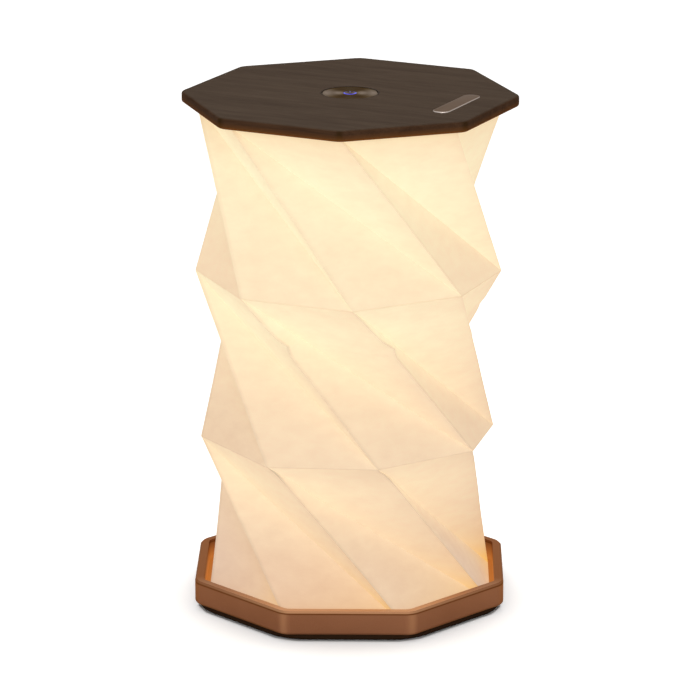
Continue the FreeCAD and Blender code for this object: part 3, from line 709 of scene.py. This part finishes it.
def mark_folds(band, low, high, tucks, dims):
    """Four UV maps: distance from mountain and valley; distance from the ring and the facet's
    kind; depth of the tucks that start where its mountain and its valley start; how dim and how
    cool it is."""
    mesh = band.data
    folds = mesh.uv_layers.new(name="folds")
    rings = mesh.uv_layers.new(name="rings")
    depths = mesh.uv_layers.new(name="tucks")
    shades = mesh.uv_layers.new(name="dims")
    middle = (low[2] + high[2]) / 2
    heights = {}
    for face in mesh.polygons:
        corners = [np.array(mesh.vertices[v].co) / MM for v in face.vertices]
        upper = [k for k in range(3) if corners[k][2] > middle]
        hanging = len(upper) == 2
        alone = [k for k in range(3) if (k in upper) != hanging][0]
        pair = [k for k in range(3) if k != alone]
        ahead = {k: (bearing_of(corners[alone]) - bearing_of(corners[k])) % 360 for k in pair}
        if not hanging:
            ahead = {k: 360 - a for k, a in ahead.items()}
        near, far = sorted(pair, key=lambda k: ahead[k])
        double_area = np.linalg.norm(
            np.cross(corners[near] - corners[alone], corners[far] - corners[alone]))
        to_mountain = double_area / np.linalg.norm(corners[near] - corners[alone])
        to_valley = double_area / np.linalg.norm(corners[far] - corners[alone])
        to_ring = double_area / np.linalg.norm(corners[near] - corners[far])
        heights[hanging] = (to_mountain, to_valley, to_ring)
        starts = [corner_number(corners[k], high) for k in ((near, far) if hanging else (alone, alone))]
        for k, loop in enumerate(face.loop_indices):
            depths.uv[loop].vector = [tucks.get(start, 0.0) for start in starts]
            shades.uv[loop].vector = dims.get(("hangs" if hanging else "stands", starts[1]), (0.0, 0.0))
            folds.uv[loop].vector = (
                to_mountain / UV_UNIT if k == far else 0.0, to_valley / UV_UNIT if k == near else 0.0)
            rings.uv[loop].vector = (to_ring / UV_UNIT if k == alone else 0.0, 1.0 if hanging else 0.0)
    return heights


print("UV maps hold distances in parts of", UV_UNIT, "mm")

# %% Refine a tier
CUTS = 47


def refine(band):
    """Cuts every facet into small triangles."""
    bpy.ops.object.select_all(action="DESELECT")
    band.select_set(True)
    bpy.context.view_layer.objects.active = band
    bpy.ops.object.mode_set(mode="EDIT")
    bpy.ops.mesh.select_all(action="SELECT")
    bpy.ops.mesh.subdivide(number_cuts=CUTS)
    bpy.ops.object.mode_set(mode="OBJECT")


def read_mesh(mesh):
    """The points in millimetres, and the number of the point at each corner of a face."""
    points = np.zeros(len(mesh.vertices) * 3)
    mesh.vertices.foreach_get("co", points)
    owner = np.zeros(len(mesh.loops), int)
    mesh.loops.foreach_get("vertex_index", owner)
    return points.reshape(-1, 3) / MM, owner


def read_uv(mesh, name):
    """A UV map as rows of two numbers, one row per corner of a face."""
    values = np.zeros(len(mesh.loops) * 2, np.float32)
    mesh.uv_layers[name].uv.foreach_get("vector", values)
    return values.reshape(-1, 2).astype(float)


print("each facet gets", (CUTS + 1) ** 2, "triangles")

# %% [markdown]
# ## Buckles
#
# Real paper doesn't stay flat between its folds. In the middle tier the mountain folds have a
# small tuck a quarter of the way down, where the crease steps sideways; in the lower tier they
# start with a short step along the ring. Some folds have a deep tuck and some hardly any. The
# steps are moved in as a shift round the lamp that fades out towards the neighbouring valley
# folds. The valleys themselves are slightly rounded.

# %% Tucks
# Share of the way down the fold, and millimetres sideways there.
TUCK_LINES = {
    "shade_paper_upper": ((0.0, 0.0), (0.5, 0.4), (1.0, 0.0)),
    "shade_paper_middle": ((0.0, 0.0), (0.15, 1.0), (0.22, 1.7), (0.255, 3.6), (0.272, 5.0), (0.285, 4.2),
                           (0.30, 3.2), (0.34, 2.0), (0.45, 1.9), (0.70, 1.2), (1.0, 0.0)),
    "shade_paper_lower": ((0.0, 0.0), (0.03, 2.2), (0.07, 3.2), (0.16, 3.2), (0.26, 2.8), (0.50, 2.1),
                          (0.70, 1.4), (1.0, 0.0)),
}
# How deep the tuck is that starts at each corner of the tier's upper ring.
TUCK_DEPTHS = {
    "shade_paper_upper": {7: 1.0, 0: 1.0, 3: 0.9, 5: 0.8},
    "shade_paper_middle": {7: 1.0, 0: 0.95, 6: 0.15, 1: 0.15, 2: 0.6, 3: 0.9, 4: 0.5, 5: 0.8},
    "shade_paper_lower": {7: 0.85, 0: 0.55, 6: 0.15, 1: 0.15, 2: 0.6, 3: 0.9, 4: 0.5, 5: 0.8},
}
print("tucks:", {name: len(depths) for name, depths in TUCK_DEPTHS.items()})

# %% Bend the paper
VALLEY_ROUNDING = 0.15
VALLEY_WIDTH = 2.5
CRUMPLE = 0.25
CRUMPLE_SIZE = 24.0


def ease(values, start, end):
    """0 up to the start, 1 from the end on, and a soft step between them."""
    share = np.clip((values - start) / (end - start), 0, 1)
    return share * share * (3 - 2 * share)


def bend(band, low, high, heights):
    """Shifts the mountain folds into their tucks, rounds the valleys and crumples the paper a little."""
    mesh = band.data
    points, owner = read_mesh(mesh)
    count = len(points)
    folds = np.zeros((count, 2))
    folds[owner] = read_uv(mesh, "folds") * UV_UNIT
    hanging = np.zeros(count, bool)
    hanging[owner] = read_uv(mesh, "rings")[:, 1] > 0.5
    own, other = np.zeros(count), np.zeros(count)
    own[owner], other[owner] = read_uv(mesh, "tucks").T
    down = (high[2] - points[:, 2]) / (high[2] - low[2])
    from_mountain = folds[:, 0] / np.where(hanging, heights[True][0], heights[False][0])
    width = np.maximum(np.where(hanging, 1 - down, down), 1e-6)
    across = np.clip(from_mountain / width, 0, 1)
    early = 1 - ease(down, 0.05, 0.30)
    stand_share = own * (1 - across * (1 - early))
    hang_share = own * (1 - across) ** 4 + other * across ** 4 * early
    shift = np.interp(down, *zip(*TUCK_LINES[band.name])) * np.where(hanging, hang_share, stand_share)
    radius = np.hypot(points[:, 0], points[:, 1])
    angle = np.arctan2(points[:, 1], points[:, 0]) + shift / radius
    swell = np.sin(np.pi * np.clip(down, 0, 1))
    radius = radius + VALLEY_ROUNDING * swell * np.exp(-(folds[:, 1] / VALLEY_WIDTH) ** 2)
    wobble = np.array([noise.noise(p / CRUMPLE_SIZE) for p in points])
    radius = radius + CRUMPLE * wobble * swell
    points[:, 0] = radius * np.cos(angle)
    points[:, 1] = radius * np.sin(angle)
    mesh.vertices.foreach_set("co", (points * MM).ravel())
    mesh.update()


print("crumples", CRUMPLE, "mm deep and", CRUMPLE_SIZE, "mm wide")

# %% [markdown]
# ## Light in the paper
#
# The light comes from a disc under the lid, falls on the inside of the paper and shows through.
# Ray tracing that would be slow and noisy, so the light is worked out once per point of the mesh
# and stored as an attribute. Close under the lid the disc shines past the paper. Below, the
# light fades with the distance, and at each waist there is a step, because the paper above it
# leans away from the disc and the paper below it leans towards it. Valley folds are nearest to
# the disc, so most facets fade from their valley to their mountain. A facet that hangs from the
# ring above leans towards the disc and is brighter than one that stands on the ring below, but
# has a soft shade along its mountain. At the foot, the tray throws some light back. No two facets
# are folded quite alike, so a few are dimmed or cooled on their own.

# %% Light by height and facet
# Millimetres above the table, and the light in the paper there.
LIGHT_AT = (
    (12.0, 0.472), (30.0, 0.476), (50.0, 0.527), (70.0, 0.58), (83.4, 0.538), (100.0, 0.562),
    (125.0, 0.622), (150.0, 0.684), (164.1, 0.64), (180.0, 0.653), (205.0, 0.69), (222.0, 0.692),
    (235.0, 0.65), (245.4, 0.618))
HANGING_GAIN = 0.065
# Light along a valley, and how far the step between its two facets is softened there.
RIDGE_LIGHT = 0.018
RIDGE_REACH = 7.0
SOFTNESS = {"shade_paper_middle": 0.5, "shade_paper_lower": 0.5}
SOFT_REACH = 5.0
# How much a facet fades from its valley to its mountain: hanging ones and standing ones.
FADES = {
    "shade_paper_upper": (0.03, -0.02),
    "shade_paper_middle": (0.06, -0.01),
    "shade_paper_lower": (0.065, -0.005),
}
# Facets that were folded steeper or flatter than the others, by the corner they start from: how
# much less light they get, and how much cooler it is. At its top, a standing one gains a little.
DIM_FACETS = {
    "shade_paper_upper": {
        ("stands", 0): (0.04, 0), ("stands", 5): (0.06, 0),
        ("hangs", 6): (-0.035, 0), ("hangs", 1): (0.015, 0)},
    "shade_paper_middle": {
        ("stands", 0): (0.02, 0), ("stands", 5): (0.045, 0),
        ("hangs", 6): (-0.035, 0), ("hangs", 1): (0.05, 0)},
    "shade_paper_lower": {
        ("stands", 5): (0.03, 0.6), ("stands", 6): (0.07, 0.1), ("stands", 7): (-0.01, 0.15),
        ("stands", 0): (-0.005, 0.6), ("hangs", 6): (-0.03, 0), ("hangs", 7): (-0.015, 0),
        ("hangs", 0): (-0.015, 0)},
}
DIM_AT_TOP = -0.35
print("facets of their own:", sum(len(facets) for facets in DIM_FACETS.values()))

# %% Work out the glow
# Light at the foot and how high it reaches, then the amber tint of the lid's painted shadow
# close under the lid, and its reach.
FOOT_LIGHT = 0.035
AMBER_HEIGHT = 14.0
LID_SHADOW_AMBER = 0.2
LID_SHADOW_REACH = 8.0
# The soft shade beside a mountain, which fades on the lower half, and the thin line along it.
CREASE_SHADE = 0.045
CREASE_REACH = 5.0
CREASE_FADE = 0.7
CREASE_LINE = {"shade_paper_upper": 0.5, "shade_paper_middle": 0.85, "shade_paper_lower": 1.0}
# Where a tuck is on the way down its mountain, how much darker the line is there, and how much
# lighter the standing facet beside it.
TUCK_SHADOWS = {"shade_paper_middle": (0.27, 0.6), "shade_paper_lower": (0.04, 2.5)}
TUCK_WIDTH = 0.05
TUCK_LIGHT = {"shade_paper_lower": 0.02}


def glow_in(band, low, high, heights):
    """Stores the light in the paper per corner: brightness, how warm it is, how dark the crease."""
    mesh = band.data
    points, owner = read_mesh(mesh)
    height = points[owner, 2]
    folds = read_uv(mesh, "folds") * UV_UNIT
    hanging = read_uv(mesh, "rings")[:, 1] > 0.5
    down = np.clip((high[2] - height) / (high[2] - low[2]), 0, 1)
    to_mountain, to_valley = [np.where(hanging, heights[True][k], heights[False][k]) for k in (0, 1)]
    mountain, valley = folds[:, 0] / to_mountain, folds[:, 1] / to_valley
    from_valley = valley / np.maximum(mountain + valley, 1e-6)
    glow = np.interp(height, *zip(*LIGHT_AT)) + RIDGE_LIGHT * np.exp(-folds[:, 1] / RIDGE_REACH)
    glow = glow - np.where(hanging, *FADES[band.name]) * from_valley
    soft = SOFTNESS.get(band.name, 0.0) * np.exp(-folds[:, 1] / SOFT_REACH)
    glow = glow + HANGING_GAIN * np.where(hanging, 1 - soft, soft)
    depth = read_uv(mesh, "tucks")[:, 0]
    crease_shade = CREASE_SHADE * np.exp(-folds[:, 0] / CREASE_REACH)
    crease_shade = crease_shade * (1 - CREASE_FADE * ease(down, 0.5, 1.0))
    tuck_light = TUCK_LIGHT.get(band.name, 0.0) * depth * (1 - ease(down, 0.1, 0.5))
    glow = glow + np.where(hanging, -crease_shade, tuck_light)
    dim, chill = read_uv(mesh, "dims").T
    glow = glow - dim * np.where(hanging, 1.0, DIM_AT_TOP + (1 - DIM_AT_TOP) * ease(down, 0.25, 1.0))
    foot = np.exp(-(height - RINGS[0][2]) / AMBER_HEIGHT)
    glow = glow + FOOT_LIGHT * foot
    # A standing facet is half as warm at the foot, and less so towards its mountain.
    amber = foot * np.where(hanging, 1.0, 0.5 - 0.2 * from_valley)
    # Painted shadow of the lid: the light turns amber close under it.
    amber = amber + LID_SHADOW_AMBER * np.exp(-(RINGS[3][2] - height) / LID_SHADOW_REACH)
    amber = amber - chill * from_valley * ease(down, 0.2, 0.9)
    tuck_at, tuck_shadow = TUCK_SHADOWS.get(band.name, (0.0, 0.0))
    tuck = depth * np.exp(-((down - tuck_at) / TUCK_WIDTH) ** 2)
    crease = CREASE_LINE[band.name] + tuck_shadow * tuck
    stored = mesh.attributes.new("lamp_light", "FLOAT_VECTOR", "CORNER")
    stored.data.foreach_set("vector", np.stack([glow, amber, crease], 1).astype(np.float32).ravel())
    return glow


levels = [light for _, light in LIGHT_AT]
print("light in the paper from", min(levels), "to", max(levels))

# %% [markdown]
# ## Paper finish
#
# The shade is a strong translucent paper with long fibres. Half of the light that falls on it
# goes through, so its own colour is a mid cream. On top comes the stored glow, from peach where
# it is dim to a pale yellow where it is bright. Blots a few millimetres wide, drawn out along
# the sheet, stand for the fibres, and a fine line of painted shade follows each sharp crease.

# %% Fibres and creases
BLOT_LENGTH = 10.0
BLOT_HEIGHT = 5.0
BLOT_CHANGE = 0.02
# A mountain line of painted shade lies mostly on the standing facet: its width and its darkest
# value on that side, and how much both change towards the hanging facet.
MOUNTAIN_LINE = (2.0, -1.0)
MOUNTAIN_DARKEST = (0.8, 0.1)
# The painted shade line along each ring: its width and its darkest value.
RING_LINE = 0.6
RING_DARKEST = 0.88
material, tree, shader = new_finish("translucent_fibre_paper", Roughness=0.85, Specular_IOR_Level=0.2)
place = add_node(tree, "TexCoord").outputs["Object"]
blots = add_node(tree, "TexNoise", {
    "Vector": stretch(tree, place, BLOT_LENGTH, BLOT_LENGTH, BLOT_HEIGHT),
    "Scale": 1.0, "Detail": 4.0, "Roughness": 0.6}).outputs[0]
blot_light = between(tree, blots, 0.25, 0.75, -BLOT_CHANGE, BLOT_CHANGE)
folds, rings = [split(tree, add_node(tree, "UVMap", uv_map=name).outputs[0]) for name in ("folds", "rings")]
lamp = split(tree, add_node(tree, "Attribute", attribute_name="lamp_light").outputs["Vector"])
line_width = calculate(
    tree, "MULTIPLY_ADD", rings["Y"], MOUNTAIN_LINE[1] / UV_UNIT, MOUNTAIN_LINE[0] / UV_UNIT)
line_depth = calculate(tree, "MULTIPLY_ADD", rings["Y"], MOUNTAIN_DARKEST[1], MOUNTAIN_DARKEST[0] - 1.0)
line_depth = calculate(tree, "MULTIPLY_ADD", line_depth, lamp["Z"], 1.0)
mountain_shade_line = between(
    tree, folds["X"], 0.0, line_width, line_depth, 1.0, interpolation_type="SMOOTHSTEP")
ring_shade_line = between(
    tree, rings["X"], 0.0, RING_LINE / UV_UNIT, RING_DARKEST, 1.0, interpolation_type="SMOOTHSTEP")
connect(shader, {"Emission Strength": calculate(tree, "MULTIPLY", mountain_shade_line, ring_shade_line)})
print("mountain line", MOUNTAIN_LINE[0], "mm, ring line", RING_LINE, "mm")

# %% Colour of the paper
glow = calculate(tree, "ADD", lamp["X"], blot_light)
colour = add_node(tree, "ValToRGB", {0: glow}, stops=[
    (0.4, "#b58b6f"), (0.522, "#c3a688"), (0.602, "#d0b594"), (0.656, "#d4be9b"),
    (0.742, "#d9cba7"), (0.808, "#dcd5b1"), (0.88, "#dedbbc")]).outputs[0]
warm = mix(tree, lamp["Y"], colour, linear("#d7a43f"))
chill = calculate(tree, "MULTIPLY", lamp["Y"], -1.0, use_clamp=True)
connect(shader, {
    "Emission Color": mix(tree, chill, warm, linear("#b0958a")),
    "Base Color": mix(tree, blots, linear("#a99d8a"), linear("#b7ab97")),
    "Normal": relief(tree, blots, 0.15, 0.15)})
finishes["shade_paper"] = material
print("paper finish:", material.name)

# %% [markdown]
# ## The three tiers
#
# The tiers are made from the tray upwards, and each rides on the body that turns it. When the lid
# goes down, the real shade folds flat into the tray. Folding every leaf would take a bone for
# each crease, and nothing of it shows once the lamp is shut.

# %% Make the three tiers
PAPER_THICKNESS = 0.3
TIERS = {
    "shade_paper_lower": (0, "base", "shade_lower_tier"),
    "shade_paper_middle": (1, "shade_middle", "shade_middle_tier"),
    "shade_paper_upper": (2, "shade_upper", "shade_upper_tier"),
}
for name, (place, body, node) in TIERS.items():
    low, high = RINGS[place], RINGS[place + 1]
    band = fold_band(name, low, high)
    nudge_corners(band, place)
    heights = mark_folds(band, low, high, TUCK_DEPTHS[name], DIM_FACETS[name])
    refine(band)
    bend(band, low, high, heights)
    wall = band.modifiers.new("paper", "SOLIDIFY")
    wall.thickness = PAPER_THICKNESS * MM
    wall.offset = -1.0
    bpy.ops.object.modifier_apply(modifier="paper")
    bpy.ops.object.shade_smooth_by_angle(angle=math.radians(18))
    glow_values = glow_in(band, low, high, heights)
    band.data.materials.append(finishes["shade_paper"])
    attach(band, body)
    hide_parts(node)
    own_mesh(band)
    print(name, len(band.data.polygons), "faces, glow",
          glow_values.min().round(2), "to", glow_values.max().round(2))
